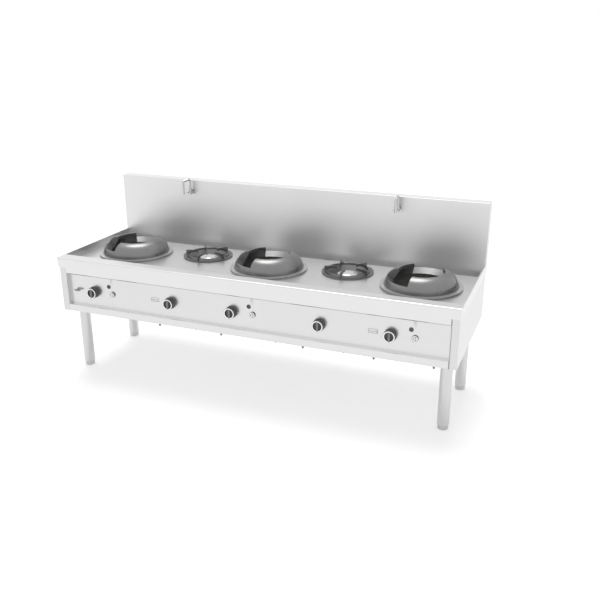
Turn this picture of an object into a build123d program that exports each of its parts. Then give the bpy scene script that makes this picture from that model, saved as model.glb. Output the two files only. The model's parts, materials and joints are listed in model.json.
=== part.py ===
from build123d import *
import os
from math import cos, radians, sin, sqrt

os.makedirs("parts", exist_ok=True)

# A free-standing gas wok range for a commercial kitchen, in millimetres.
# X runs to the right, Y to the back, Z up. The origin lies on the floor, in the middle of
# the space that the range takes up, knobs included.

# ---- Worktop and body ---------------------------------------------------------------
worktop_end = 340.0  # worktop beyond the middle of each outer wok ring
worktop_depth = 950.0
worktop_height = 850.0
edge_height = 68.0  # folded edge round the worktop
edge_radius = 9.0  # rounded top of the front edge
front_rim = 88.0  # flat strip in front of the sunk deck
side_rim = 8.0  # narrow upstand at each side of the deck
deck_drop = 55.0  # deck below the rims
gutter_width = 72.0  # drain gutter along the back of the deck
gutter_drop = 40.0  # gutter floor below the deck
gutter_inset = 12.0  # gutter's ends inside the side walls
apron_drop = 42.0  # front edge below the side edges, between the posts
splash_height = 426.0  # splashback above the worktop
splash_thickness = 85.0
sheet = 2.0  # stainless sheet
bend = 3.0  # outer radius of a folded corner
seam = 0.6  # gap between sheets that meet edge to edge
body_height = 383.0  # body's underside below the worktop's top
overhang_left = 14.0
overhang_right = 4.0
overhang_rear = 6.0
post_width = 50.0
panel_recess = 28.0  # control panel behind the posts
panel_lap = 15.0  # control panel behind the posts, apron and rail
rail_height = 49.0
rail_flange = 60.0
side_flange = 30.0
cover_flange = 22.0  # folded edge that a rear cover is screwed to
cover_inset = 6.0  # rear face of the splashback cover ahead of the rear edge

# ---- Cooking stations ---------------------------------------------------------------
wok_pitch = 1060.0  # small burners stand midway between the wok rings
wok_y = 0.0
small_y = 115.0

ring_radius = 264.0
ring_flange_height = 13.0
ring_step_radius = 240.0
ring_foot_radius = 233.0
ring_foot_height = 16.0
ring_top_radius = 154.0
ring_height = 108.0
ring_bulge = 21.0  # bulge of the dome over its straight chord
wok_seat_radius = 146.0
wok_seat_height = 20.0
ring_edge = 1.5  # chamfer at the wok seat's mouth
ring_throat_radius = 177.0
ring_throat_height = 30.0
ring_wall = 10.0  # cast wall round the hollows under the ring
ring_hollow_side = 5.0  # solid beside each notch, in degrees
notch_edge_radius = 218.0
notch_edge_height = 59.0
front_notch = (185.0, 260.0)  # start and end azimuth of each flame notch
back_notch = (37.0, 122.0)

bowl_radius = 184.0
bowl_sheet = 3.0
bowl_flange_radius = 220.0
bowl_depth = 155.0
bowl_hole_radius = 92.0
wok_head_radius = 80.0
wok_head_height = 62.0  # burner head above the bowl's floor
wok_head_chamfer = 8.0
wok_recess_radius = 27.0
wok_recess = 6.0
wok_flange_radius = 112.0
wok_flange_thickness = 6.0
wok_throat_radius = 24.0
wok_throat_drop = 45.0  # mixing throat below the burner's flange

trivet_radius = 176.0
trivet_skirt_gap = 3.0  # cone under the trivet clear of the dish's slope
trivet_skirt = 5.0
trivet_skirt_height = 4.0  # cone's end above the dish's floor
trivet_base_height = 8.0
trivet_collar_foot = 153.0  # outer radius of the collar where it leaves the base
trivet_collar_outer = 148.0
trivet_collar_radius = 140.0
trivet_collar_height = 20.0
fin_count = 5
fin_first = -90.0  # the first fin points to the front
fin_thickness = 9.0
fin_outer_radius = 158.0
fin_inner_radius = 72.0
fin_height = 42.0
fin_depth = 16.0
fin_slope = 22.0
fin_root = 14.0
fin_foot = 6.0

dish_radius = 146.0
dish_sheet = 1.5
dish_flange_radius = 170.0
dish_floor_radius = 96.0
dish_depth = 42.0
dish_hole_radius = 30.0
small_head_radius = 68.0
small_head_thickness = 12.0  # at the rim
small_head_crown = 14.0  # middle of the cap above its rim
small_head_gap = 18.0  # head above the dish's floor
small_neck_radius = 27.0
small_neck = 8.0
small_reducer = 12.0
small_collar_radius = 46.0
small_collar_thickness = 4.0
small_pipe_radius = 14.0

# ---- Controls -----------------------------------------------------------------------
control_drop = 20.0  # knobs below the fire bowls' floor
knob_offset = 75.0  # wok knob to the left of its burner's centre
knob_radius = 38.0
knob_skirt_radius = 40.0
knob_skirt = 7.0
knob_length = 42.0  # from the control panel to the knob's front
knob_edge = 2.0
knob_ring_width = 7.0
knob_ring_height = 9.0
knob_grip_length = 60.0
knob_grip_width = 13.0
knob_grip_height = 11.0
knob_gap = 0.5  # knob's back to the panel
spindle_radius = 4.0
spindle_bore_depth = 24.0
running_clearance = 0.06
hole_clearance = 0.5
end_clearance = 1.0  # room at the end of a blind bore

igniter_offset = 75.0
bezel_radius = 20.0
bezel_height = 7.0
igniter_barrel_radius = 16.0
igniter_length = 52.0
button_radius = 13.0
button_proud = 4.0
button_length = 30.0
button_travel = 5.0
button_edge = 1.5
button_dimples = 3
button_dimple_first = 60.0
button_dimple_radius = 2.4
button_dimple_pitch = 8.0
button_dimple_depth = 1.5

sight_offset = 50.0
sight_rise = 53.0
sight_radius = 14.5
sight_bore = 13.0
sight_proud = 1.5

rinse_offset = 127.0  # rinse valve to the left of the first knob
rinse_rise = 5.0
rinse_flange_radius = 14.0
rinse_flange = 3.0
rinse_radius = 8.0
rinse_proud = 16.0
rinse_tail = 40.0
rinse_lever_length = 46.0
rinse_lever_width = 9.0
lever_pin_radius = 3.0
lever_pin_length = 12.0
lever_gap = 0.3

# ---- Gas and water ------------------------------------------------------------------
valve_radius = 20.0
valve_length = 55.0
valve_leg_radius = 10.0
manifold_radius = 17.0
manifold_drop = 75.0  # manifold below the knobs
manifold_boss_radius = 13.0
manifold_boss = 4.0
manifold_overrun = 45.0  # manifold's closed end beyond the first knob
gas_inlet_inset = 166.0  # gas inlet inside the right side panel
gas_inlet_bend = 70.0
gas_thread_radius = 16.62
gas_thread = 30.0
inlet_set_back = 1.0  # inlet ends ahead of the rear edge
inlet_access_radius = 40.0
gas_line_radius = 9.0
gas_line_bend = 35.0
line_boss_radius = 13.0
line_boss = 8.0
pilot_radius = 5.0
pilot_distance = 126.0  # from the burner's axis
pilot_bend = 22.0
pilot_height = 55.0  # pilot tip above the bowl's floor

water_radius = 10.0
water_bend = 40.0
water_setback = 27.0  # header behind the splashback's front sheet
water_tee_radius = 13.0
water_inlet_rise = 80.0
water_thread_radius = 10.48
water_thread = 20.0
water_cap = 40.0

drain_radius = 25.0
drain_wall = 2.0
drain_flange_radius = 33.0
drain_spigot = 47.0  # end of the drain below the body, that a hose goes on
drain_spigot_radius = 24.0

tap_drop = 90.0  # taps below the splashback's top
tap_flange_radius = 24.0
tap_flange = 4.0
tap_radius = 12.0
tap_reach = 32.0  # riser ahead of the splashback
tap_nose = 12.0  # body ahead of the riser
tap_socket = 26.0
tap_tail_radius = 9.0
spout_radius = 8.0
spout_wall = 1.5
spout_engagement = 18.0
spout_collar_radius = 11.0
spout_collar = 7.0
spout_gap = 0.3
spout_top = 105.0  # top of the bend above the body's axis
spout_reach = 62.0
spout_fall = 16.0
spout_drop = 94.0
spout_swing = {"left": 24.0, "right": 0.0}  # degrees that each spout stands turned to its left
spout_bends = (14.0, 12.0)
tap_lever_length = 36.0
tap_lever_width = 7.0
tap_lever_thickness = 8.0
tap_hub_radius = 11.0

# ---- Frame, legs and fasteners ------------------------------------------------------
frame_tube = 40.0
frame_wall = 3.0
frame_gap = 1.0
gusset = 110.0
gusset_thickness = 4.0
leg_radius = 38.0
leg_wall = 2.0
leg_inset = 84.0
leg_front = 134.0
leg_rear = 228.0
leg_hole_gap = 1.0
leg_plug = 20.0
foot_radius = 34.0
foot_height = 35.0
foot_gap = 0.3
foot_chamfer = 4.0
foot_stem_radius = 10.0
foot_stem = 62.0

screw_radius = 2.0
screw_head_radius = 4.5
screw_head = 2.4
screw_grip = 7.0
cover_screws = 7
panel_screw_rows = 3
bolt_radius = 4.0
bolt_nut_radius = 8.0
bolt_nut = 18.0
bolt_tip = 4.0
# Bolts under the front edge, each measured from a burner: from the second one on, and the
# last one from the last burner too.
front_bolts = (-87.0, -153.0, -107.0, -173.0, 198.0)
inner_bolts = (176.0, 226.0, 155.0)
front_bolt_setback = 22.0
inner_bolt_setback = 44.0

air_slot = (260.0, 14.0)
air_slot_pitch = 34.0
air_slots = 5
vent_slot = (60.0, 10.0)
vent_rows = 4
vent_columns = 18
vent_spacing = (110.0, 28.0)

# ---- Planes and places that follow from the sizes ------------------------------------
half_width = wok_pitch + worktop_end
worktop_width = 2 * half_width
knob_proud = knob_length - panel_recess
y_front = -(worktop_depth - knob_proud) / 2
y_rear = y_front + worktop_depth
y_panel = y_front + panel_recess
y_panel_back = y_panel + sheet
y_rim = y_front + front_rim
y_splash = y_rear - splash_thickness
y_gutter = y_splash - gutter_width
y_body_rear = y_rear - overhang_rear
y_cover = y_rear - cover_inset
splash_top = worktop_height + splash_height
body_bottom = worktop_height - body_height
z_edge = worktop_height - edge_height
z_deck = worktop_height - deck_drop
z_gutter = z_deck - gutter_drop
z_apron = z_edge - apron_drop
z_rail = body_bottom + rail_height
z_tray = body_bottom + sheet
z_frame = z_tray + sheet
x_left = overhang_left - half_width
x_right = half_width - overhang_right
x_posts = (x_left + post_width, x_right - post_width)
x_wall = half_width - side_rim
x_gutter = x_wall - gutter_inset

station_x = [step * wok_pitch / 2 for step in (-2, -1, 0, 1, 2)]
wok_spots = [(x, wok_y) for x in station_x[::2]]
small_spots = [(x, small_y) for x in station_x[1::2]]
bowl_seat = z_deck + bowl_sheet
bowl_floor = z_deck - bowl_depth
dish_floor = z_deck - dish_depth
knob_x = sorted([x - knob_offset for x, _ in wok_spots] + [x for x, _ in small_spots])
rinse_x = knob_x[0] - rinse_offset
igniter_x = [x + igniter_offset for x, _ in wok_spots]
sight_x = [x + sight_offset for x, _ in wok_spots]
control_z = bowl_floor - control_drop
sight_z = control_z + sight_rise
rinse_z = control_z + rinse_rise
valve_end = y_panel_back + valve_length
igniter_end = y_panel_back + igniter_length
rinse_end = y_panel_back + rinse_tail
manifold_y = y_panel_back + valve_length / 2
manifold_z = control_z - manifold_drop
gas_inlet_x = x_right - gas_inlet_inset
water_y = y_splash + water_setback
drain_x = (station_x[2] + station_x[3]) / 2
drain_y = (y_gutter + y_splash) / 2
drain_end = body_bottom - drain_spigot
inlet_end = y_rear - inlet_set_back
tap_x = (station_x[3] + station_x[4]) / 2
tap_z = splash_top - tap_drop
water_inlet_z = rinse_z + water_inlet_rise
leg_rows = (y_front + leg_front, y_rear - leg_rear)
leg_columns = (leg_inset - half_width, half_width - leg_inset)
leg_spots = [(x, y) for y in leg_rows for x in leg_columns]
bolt_stations = (*station_x[1:], station_x[-1])
bolt_spots = [(x + shift, y_front + front_bolt_setback) for x, shift in zip(bolt_stations, front_bolts)]
bolt_spots += [(x + shift, y_front + inner_bolt_setback) for x, shift in zip(bolt_stations, inner_bolts)]
cover_width = worktop_width - 2 * sheet - 2 * seam
cover_screw_z = splash_top - sheet - cover_flange / 2
cover_screw_span = cover_width - cover_flange
panel_screw_z = (z_frame + z_edge) / 2
panel_screw_step = (z_edge - z_frame) / panel_screw_rows


# ---- Helpers ------------------------------------------------------------------------
def save(builder, name):
    """Name a finished piece and write it."""
    builder.part.label = name
    export_step(builder.part, f"parts/{name}.step")


def folded(points, radii, side=Side.RIGHT):
    """Section of a sheet folded along points that lie on its outer face."""
    with BuildSketch() as section:
        with BuildLine():
            FilletPolyline(*points, radius=radii)
            offset(amount=sheet, side=side, closed=True)
        make_face()
    return section.sketch


def block(x0, x1, y0, y1, z0, z1):
    """Straight block between two corners, for use inside a part."""
    with BuildPart() as piece:
        with BuildSketch(Plane.XY.offset(z0)):
            with Locations(((x0 + x1) / 2, (y0 + y1) / 2)):
                Rectangle(x1 - x0, y1 - y0)
        extrude(amount=z1 - z0)
    return piece.part


def ring_section(points, crown_radius=None):
    """Part revolved round the Z axis from a closed outline of (radius, height) points.

    With a crown radius, the outline's last run is an arc instead of straight.
    """
    with BuildPart() as turned:
        with BuildSketch(Plane.XZ):
            with BuildLine():
                if crown_radius is None:
                    Polyline(*points, close=True)
                else:
                    RadiusArc(points[-2], points[-1], -crown_radius)
                    Polyline(points[-1], *points[:-1])
            make_face()
        revolve(axis=Axis.Z)
    return turned.part


def sector(points, start, end):
    """The same outline, turned only from one azimuth to another."""
    a = radians(start)
    plane = Plane(origin=(0, 0, 0), x_dir=(cos(a), sin(a), 0), z_dir=(sin(a), -cos(a), 0))
    with BuildPart() as turned:
        with BuildSketch(plane):
            with BuildLine():
                Polyline(*points, close=True)
            make_face()
        revolve(axis=Axis.Z, revolution_arc=end - start)
    return turned.part


def pipe(points, radii, radius, bore=0.0):
    """Round pipe through a list of points, with tangent bends."""
    with BuildPart() as run:
        with BuildLine() as path:
            FilletPolyline(*points, radius=radii)
        with BuildSketch(Plane(origin=path.line @ 0, z_dir=path.line % 0)):
            Circle(radius)
            if bore:
                Circle(bore, mode=Mode.SUBTRACT)
        sweep()
    return run.part


def facing(x, y, z):
    """Plane that faces the front, at a point: its sketches extrude towards -Y."""
    return Plane(origin=(x, y, z), x_dir=(1, 0, 0), z_dir=(0, -1, 0))


# ---- Worktop ------------------------------------------------------------------------
front_edge = [
    (y_panel, z_apron),
    (y_front, z_apron),
    (y_front, worktop_height),
    (y_rim, worktop_height),
    (y_rim, z_deck),
]
gutter_fold = [(y_gutter, z_deck), (y_gutter, z_gutter), (y_splash, z_gutter)]
with BuildPart() as worktop:
    # Apron, front edge, front rim, deck and gutter are folded from one sheet.
    with BuildSketch(Plane.YZ.offset(-x_gutter)):
        add(folded(front_edge + gutter_fold, [bend, edge_radius, bend, bend, bend, bend]))
    extrude(amount=2 * x_gutter)
    for sign, post in ((-1, x_posts[0] + seam), (1, x_posts[1] - seam)):
        # Beyond the gutter's ends the deck runs on to the splashback.
        with BuildSketch(Plane.YZ.offset(sign * x_gutter)):
            add(folded([*front_edge, (y_splash, z_deck)], [bend, edge_radius, bend, bend]))
        extrude(amount=sign * (half_width - x_gutter))
        x0, x1 = sorted((sign * x_gutter, sign * (x_gutter - sheet)))
        add(block(x0, x1, y_gutter - sheet, y_splash, z_gutter - sheet, z_deck))
        # The deck stops at the side walls, and the apron at the posts.
        x0, x1 = sorted((sign * x_wall, sign * half_width))
        beside = block(x0, x1, y_rim - sheet, y_splash, z_deck - sheet, worktop_height)
        add(beside, mode=Mode.SUBTRACT)
        x0, x1 = sorted((post, sign * half_width))
        add(block(x0, x1, y_front, y_panel, z_apron, z_edge), mode=Mode.SUBTRACT)
    for sign in (-1, 1):
        # Outer skirt, with the front edge's rounding.
        with BuildSketch(Plane.YZ.offset(sign * half_width)) as skirt:
            with Locations(((y_front + y_rear) / 2, (z_edge + worktop_height) / 2)):
                Rectangle(worktop_depth, edge_height)
            fillet(skirt.vertices().group_by(Axis.Y)[0].sort_by(Axis.Z)[-1], edge_radius)
        extrude(amount=-sign * sheet)
        # Side wall beside the deck, and the narrow rim on top of it.
        x0, x1 = sorted((sign * x_wall, sign * (x_wall + sheet)))
        add(block(x0, x1, y_rim - sheet, y_splash, z_deck - sheet, worktop_height))
        x0, x1 = sorted((sign * x_wall, sign * half_width))
        add(block(x0, x1, y_rim - sheet, y_splash, worktop_height - sheet, worktop_height))
    add(block(-half_width, half_width, y_rear - sheet, y_rear, z_edge, worktop_height))
    # Openings for the fire bowls and the drip dishes, and the drain.
    with BuildSketch(Plane.XY.offset(z_deck)):
        with Locations(*wok_spots):
            Circle(bowl_radius + hole_clearance)
        with Locations(*small_spots):
            Circle(dish_radius + hole_clearance)
    extrude(amount=-sheet, mode=Mode.SUBTRACT)
    with BuildSketch(Plane.XY.offset(z_gutter)):
        with Locations((drain_x, drain_y)):
            Circle(drain_radius + hole_clearance)
    extrude(amount=-sheet, mode=Mode.SUBTRACT)
save(worktop, "worktop")

# ---- Splashback ---------------------------------------------------------------------
with BuildPart() as splashback:
    with BuildSketch(Plane.YZ.offset(-half_width)):
        add(
            folded(
                [(y_splash, z_gutter - sheet), (y_splash, splash_top), (y_rear, splash_top)],
                bend,
            )
        )
    extrude(amount=worktop_width)
    lower_end = half_width - sheet - seam
    for sign in (-1, 1):
        for end, top in ((lower_end, worktop_height), (x_gutter, z_deck - sheet)):
            x0, x1 = sorted((sign * end, sign * half_width))
            below = block(x0, x1, y_splash, y_splash + sheet, z_gutter - sheet, top)
            add(below, mode=Mode.SUBTRACT)
        with BuildSketch(Plane.YZ.offset(sign * half_width)) as cheek:
            with Locations(((y_splash + y_rear) / 2, (worktop_height + splash_top) / 2)):
                Rectangle(splash_thickness, splash_top - worktop_height)
            fillet(cheek.vertices().group_by(Axis.Y)[0].sort_by(Axis.Z)[-1], bend)
        extrude(amount=-sign * sheet)
        x0, x1 = sorted((sign * (half_width - sheet), sign * (half_width - sheet - cover_flange)))
        add(block(x0, x1, y_cover - 2 * sheet, y_cover - sheet, worktop_height, splash_top - sheet))
    add(
        block(
            sheet - half_width,
            half_width - sheet,
            y_cover - 2 * sheet,
            y_cover - sheet,
            splash_top - sheet - cover_flange,
            splash_top - sheet,
        )
    )
    with BuildSketch(facing(0, y_splash, tap_z)):
        with Locations((-tap_x, 0), (tap_x, 0)):
            Circle(tap_tail_radius + hole_clearance)
    extrude(amount=-sheet, mode=Mode.SUBTRACT)
    with BuildSketch(facing(0, y_cover, cover_screw_z)):
        with GridLocations(cover_screw_span / (cover_screws - 1), 1, cover_screws, 1):
            Circle(screw_radius + running_clearance)
    extrude(amount=2 * sheet, mode=Mode.SUBTRACT)
save(splashback, "splashback")

with BuildPart() as splash_rear_cover:
    cover_bottom = worktop_height + seam
    cover_top = splash_top - sheet - seam
    add(block(-cover_width / 2, cover_width / 2, y_cover - sheet, y_cover, cover_bottom, cover_top))
    with BuildSketch(facing(0, y_cover, cover_screw_z)):
        with GridLocations(cover_screw_span / (cover_screws - 1), 1, cover_screws, 1):
            Circle(screw_radius + running_clearance)
    extrude(amount=sheet, mode=Mode.SUBTRACT)
save(splash_rear_cover, "splash_rear_cover")

# ---- Body panels --------------------------------------------------------------------
for name, x_side, inward, side in (
    ("side_panel_left", x_left, 1, Side.RIGHT),
    ("side_panel_right", x_right, -1, Side.LEFT),
):
    x_post = x_side + inward * post_width
    with BuildPart() as side_panel:
        with BuildSketch(Plane.XY.offset(body_bottom)):
            add(
                folded(
                    [
                        (x_post, y_panel),
                        (x_post, y_front),
                        (x_side, y_front),
                        (x_side, y_body_rear),
                        (x_side + inward * side_flange, y_body_rear),
                    ],
                    bend,
                    side,
                )
            )
        extrude(amount=z_deck - sheet - body_bottom)
        # The post ends under the worktop's edge, the wall goes on up to the deck.
        x0, x1 = sorted((x_side, x_post))
        add(block(x0, x1, y_front, y_panel, z_edge, z_deck), mode=Mode.SUBTRACT)
        x0, x1 = sorted((x_side, x_side + inward * side_flange))
        add(block(x0, x1, y_front + bend, y_body_rear - bend, body_bottom, z_tray))
        screw_x = x_side + inward * (side_flange / 2 + sheet)
        with BuildSketch(facing(screw_x, y_body_rear, panel_screw_z)):
            with GridLocations(1, panel_screw_step, 1, panel_screw_rows):
                Circle(screw_radius + running_clearance)
        extrude(amount=sheet, mode=Mode.SUBTRACT)
    save(side_panel, name)

with BuildPart() as control_panel:
    panel_ends = (x_posts[0] - panel_lap, x_posts[1] + panel_lap)
    add(block(*panel_ends, y_panel, y_panel_back, z_rail - panel_lap, z_edge))
    with BuildSketch(facing(0, y_panel, 0)):
        with Locations(*[(x, control_z) for x in knob_x]):
            Circle(spindle_radius + hole_clearance)
        with Locations(*[(x, control_z) for x in igniter_x]):
            Circle(igniter_barrel_radius + hole_clearance)
        with Locations(*[(x, sight_z) for x in sight_x]):
            Circle(sight_radius + running_clearance)
        with Locations((rinse_x, rinse_z)):
            Circle(rinse_radius + hole_clearance)
    extrude(amount=-sheet, mode=Mode.SUBTRACT)
save(control_panel, "control_panel")

with BuildPart() as bottom_rail:
    with BuildSketch(Plane.YZ.offset(x_posts[0] + seam)):
        add(
            folded(
                [
                    (y_panel, z_rail),
                    (y_front, z_rail),
                    (y_front, body_bottom),
                    (y_front + rail_flange, body_bottom),
                ],
                bend,
                Side.LEFT,
            )
        )
    extrude(amount=x_posts[1] - x_posts[0] - 2 * seam)
    with BuildSketch(Plane.XY.offset(body_bottom)):
        with Locations(*bolt_spots):
            Circle(bolt_radius + running_clearance)
    extrude(amount=sheet, mode=Mode.SUBTRACT)
save(bottom_rail, "bottom_rail")

tray_left = x_left + sheet + seam
tray_right = x_right - sheet - seam
tray_front = y_panel + seam
tray_back = y_body_rear - 2 * sheet - seam
with BuildPart() as bottom_tray:
    add(block(tray_left, tray_right, tray_front, tray_back, z_tray, z_frame))
    with BuildSketch(Plane.XY.offset(z_tray)):
        with Locations(*leg_spots):
            Circle(leg_radius + leg_hole_gap)
        with Locations((drain_x, drain_y)):
            Circle(drain_radius + leg_hole_gap)
        with Locations(*bolt_spots):
            Circle(bolt_radius + running_clearance)
        with Locations(*wok_spots, *small_spots):
            with GridLocations(1, air_slot_pitch, 1, air_slots):
                SlotOverall(*air_slot)
    extrude(amount=sheet, mode=Mode.SUBTRACT)
save(bottom_tray, "bottom_tray")

with BuildPart() as back_panel:
    panel_left = x_left + bend + seam
    panel_right = x_right - bend - seam
    add(block(panel_left, panel_right, y_body_rear - 2 * sheet, y_body_rear - sheet, z_frame, z_edge))
    screw_span = x_right - x_left - side_flange - 2 * sheet
    vent_height = (vent_rows - 1) * vent_spacing[1]
    with BuildSketch(facing((x_left + x_right) / 2, y_body_rear - sheet, panel_screw_z)):
        with GridLocations(screw_span, panel_screw_step, 2, panel_screw_rows):
            Circle(screw_radius + running_clearance)
        with GridLocations(*vent_spacing, vent_columns, vent_rows):
            SlotOverall(*vent_slot)
    extrude(amount=sheet, mode=Mode.SUBTRACT)
    with BuildSketch(facing(0, y_body_rear - sheet, 0)):
        with Locations((gas_inlet_x, manifold_z), (rinse_x, water_inlet_z)):
            Circle(inlet_access_radius)
    extrude(amount=sheet, mode=Mode.SUBTRACT)
save(back_panel, "back_panel")

# ---- Frame, legs and feet -----------------------------------------------------------
frame_left = x_left + sheet + frame_gap
frame_right = x_right - sheet - frame_gap
frame_stays = (*leg_columns, station_x[1], station_x[3])
with BuildPart() as underframe:
    # Square tubes, welded in one plane, and then their hollows.
    for wall, mode in ((0.0, Mode.ADD), (frame_wall, Mode.SUBTRACT)):
        reach = frame_tube / 2 - wall
        heights = (z_frame + wall, z_frame + frame_tube - wall)
        for y in leg_rows:
            add(block(frame_left, frame_right, y - reach, y + reach, *heights), mode=mode)
        for x in frame_stays:
            add(block(x - reach, x + reach, *leg_rows, *heights), mode=mode)
    with BuildSketch(Plane.XY.offset(z_frame)):
        with Locations(*leg_spots):
            Rectangle(gusset, gusset)
    extrude(amount=gusset_thickness)
save(underframe, "underframe")

leg_bottom = foot_height + foot_gap
for number, spot in enumerate(leg_spots, 1):
    with BuildPart() as leg:
        with BuildSketch(Plane.XY.offset(leg_bottom)):
            with Locations(spot):
                Circle(leg_radius)
                Circle(leg_radius - leg_wall, mode=Mode.SUBTRACT)
        extrude(amount=z_frame - leg_bottom)
        with BuildSketch(Plane.XY.offset(leg_bottom)):
            with Locations(spot):
                Circle(leg_radius - leg_wall)
                Circle(foot_stem_radius + running_clearance, mode=Mode.SUBTRACT)
        extrude(amount=leg_plug)
    save(leg, f"leg_{number}")

    with BuildPart() as foot:
        with BuildSketch():
            with Locations(spot):
                Circle(foot_radius)
        extrude(amount=foot_height)
        chamfer(foot.edges().group_by(Axis.Z)[0], foot_chamfer)
        with BuildSketch(Plane.XY.offset(foot_height)):
            with Locations(spot):
                Circle(foot_stem_radius)
        extrude(amount=foot_stem)
    save(foot, f"foot_{number}")

# ---- Cast wok rings -----------------------------------------------------------------
with BuildPart() as ring_shape:
    underside = bowl_sheet + seam
    groove_outer = bowl_flange_radius + 2 * seam
    groove_top = ring_throat_height - ring_wall
    throat_outer = ring_throat_radius + ring_wall
    with BuildSketch(Plane.XZ):
        with BuildLine():
            Polyline(
                (wok_seat_radius + ring_edge, ring_height),
                (wok_seat_radius, ring_height - ring_edge),
                (wok_seat_radius, ring_height - ring_edge - wok_seat_height),
                (ring_throat_radius, ring_throat_height),
                (ring_throat_radius, underside),
                (throat_outer, underside),
                (throat_outer, groove_top),
                (groove_outer, groove_top),
                (groove_outer, 0),
                (ring_radius, 0),
                (ring_radius, ring_flange_height),
                (ring_step_radius, ring_flange_height),
                (ring_step_radius, ring_foot_height),
                (ring_foot_radius, ring_foot_height),
            )
            SagittaArc(
                (ring_foot_radius, ring_foot_height), (ring_top_radius, ring_height), -ring_bulge
            )
            Line((ring_top_radius, ring_height), (wok_seat_radius + ring_edge, ring_height))
        make_face()
    revolve(axis=Axis.Z)
    # Two flame notches, down to a floor that slopes towards the fire.
    slope = (notch_edge_height - ring_throat_height) / (notch_edge_radius - ring_throat_radius)
    cut_inner = wok_seat_radius - ring_wall
    cut_outer = ring_radius
    notch = [
        (cut_inner, notch_edge_height - slope * (notch_edge_radius - cut_inner)),
        (cut_outer, notch_edge_height + slope * (cut_outer - notch_edge_radius)),
        (cut_outer, ring_height + ring_wall),
        (cut_inner, ring_height + ring_wall),
    ]
    add(sector(notch, *front_notch), mode=Mode.SUBTRACT)
    add(sector(notch, *back_notch), mode=Mode.SUBTRACT)
    # Hollows inside the two crowns, open to the groove underneath.
    hollow = [
        (throat_outer, underside),
        (groove_outer, underside),
        (groove_outer, ring_throat_height),
        (ring_top_radius + 2 * ring_wall, ring_height - 3 * ring_wall),
        (ring_top_radius + ring_wall, ring_height - 3 * ring_wall),
        (throat_outer, ring_throat_height),
    ]
    for start, end in ((back_notch[1], front_notch[0]), (front_notch[1], back_notch[0] + 360)):
        add(sector(hollow, start + ring_hollow_side, end - ring_hollow_side), mode=Mode.SUBTRACT)

for number, (x, y) in enumerate(wok_spots, 1):
    with BuildPart() as wok_ring:
        with Locations((x, y, z_deck)):
            add(ring_shape.part)
    save(wok_ring, f"wok_ring_{number}")

# ---- Fire bowls and wok burners -----------------------------------------------------
for number, (x, y) in enumerate(wok_spots, 1):
    inside = bowl_radius - bowl_sheet
    with BuildPart() as wok_bowl:
        bowl_turned = ring_section(
            [
                (bowl_flange_radius, z_deck),
                (bowl_flange_radius, bowl_seat),
                (inside, bowl_seat),
                (inside, bowl_floor + bowl_sheet),
                (bowl_hole_radius, bowl_floor + bowl_sheet),
                (bowl_hole_radius, bowl_floor),
                (bowl_radius, bowl_floor),
                (bowl_radius, z_deck),
            ]
        )
        with Locations((x, y)):
            add(bowl_turned)
        # Hole in the front wall for the sight tube, and one in the floor for the pilot.
        with BuildSketch(facing(x + sight_offset, y, sight_z)):
            Circle(sight_radius + hole_clearance)
        extrude(amount=bowl_radius, mode=Mode.SUBTRACT)
        pilot_back = sqrt(pilot_distance**2 - igniter_offset**2)
        with BuildSketch(Plane.XY.offset(bowl_floor)):
            with Locations((x + igniter_offset, y - pilot_back)):
                Circle(pilot_radius + hole_clearance)
        extrude(amount=bowl_sheet, mode=Mode.SUBTRACT)
    save(wok_bowl, f"wok_bowl_{number}")

    with BuildPart() as wok_burner:
        head_top = bowl_floor + wok_head_height
        burner_turned = ring_section(
            [
                (0, head_top - wok_recess),
                (wok_recess_radius, head_top - wok_recess),
                (wok_recess_radius + wok_recess, head_top),
                (wok_head_radius - wok_head_chamfer, head_top),
                (wok_head_radius, head_top - wok_head_chamfer),
                (wok_head_radius, bowl_floor),
                (wok_flange_radius, bowl_floor),
                (wok_flange_radius, bowl_floor - wok_flange_thickness),
                (wok_throat_radius, bowl_floor - wok_flange_thickness),
                (wok_throat_radius, bowl_floor - wok_flange_thickness - wok_throat_drop),
                (0, bowl_floor - wok_flange_thickness - wok_throat_drop),
            ]
        )
        with Locations((x, y)):
            add(burner_turned)
        with BuildSketch(Plane.YZ.offset(x)):
            with Locations((y, control_z)):
                Circle(line_boss_radius)
        extrude(amount=-(wok_throat_radius + line_boss))
    save(wok_burner, f"wok_burner_{number}")

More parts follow.
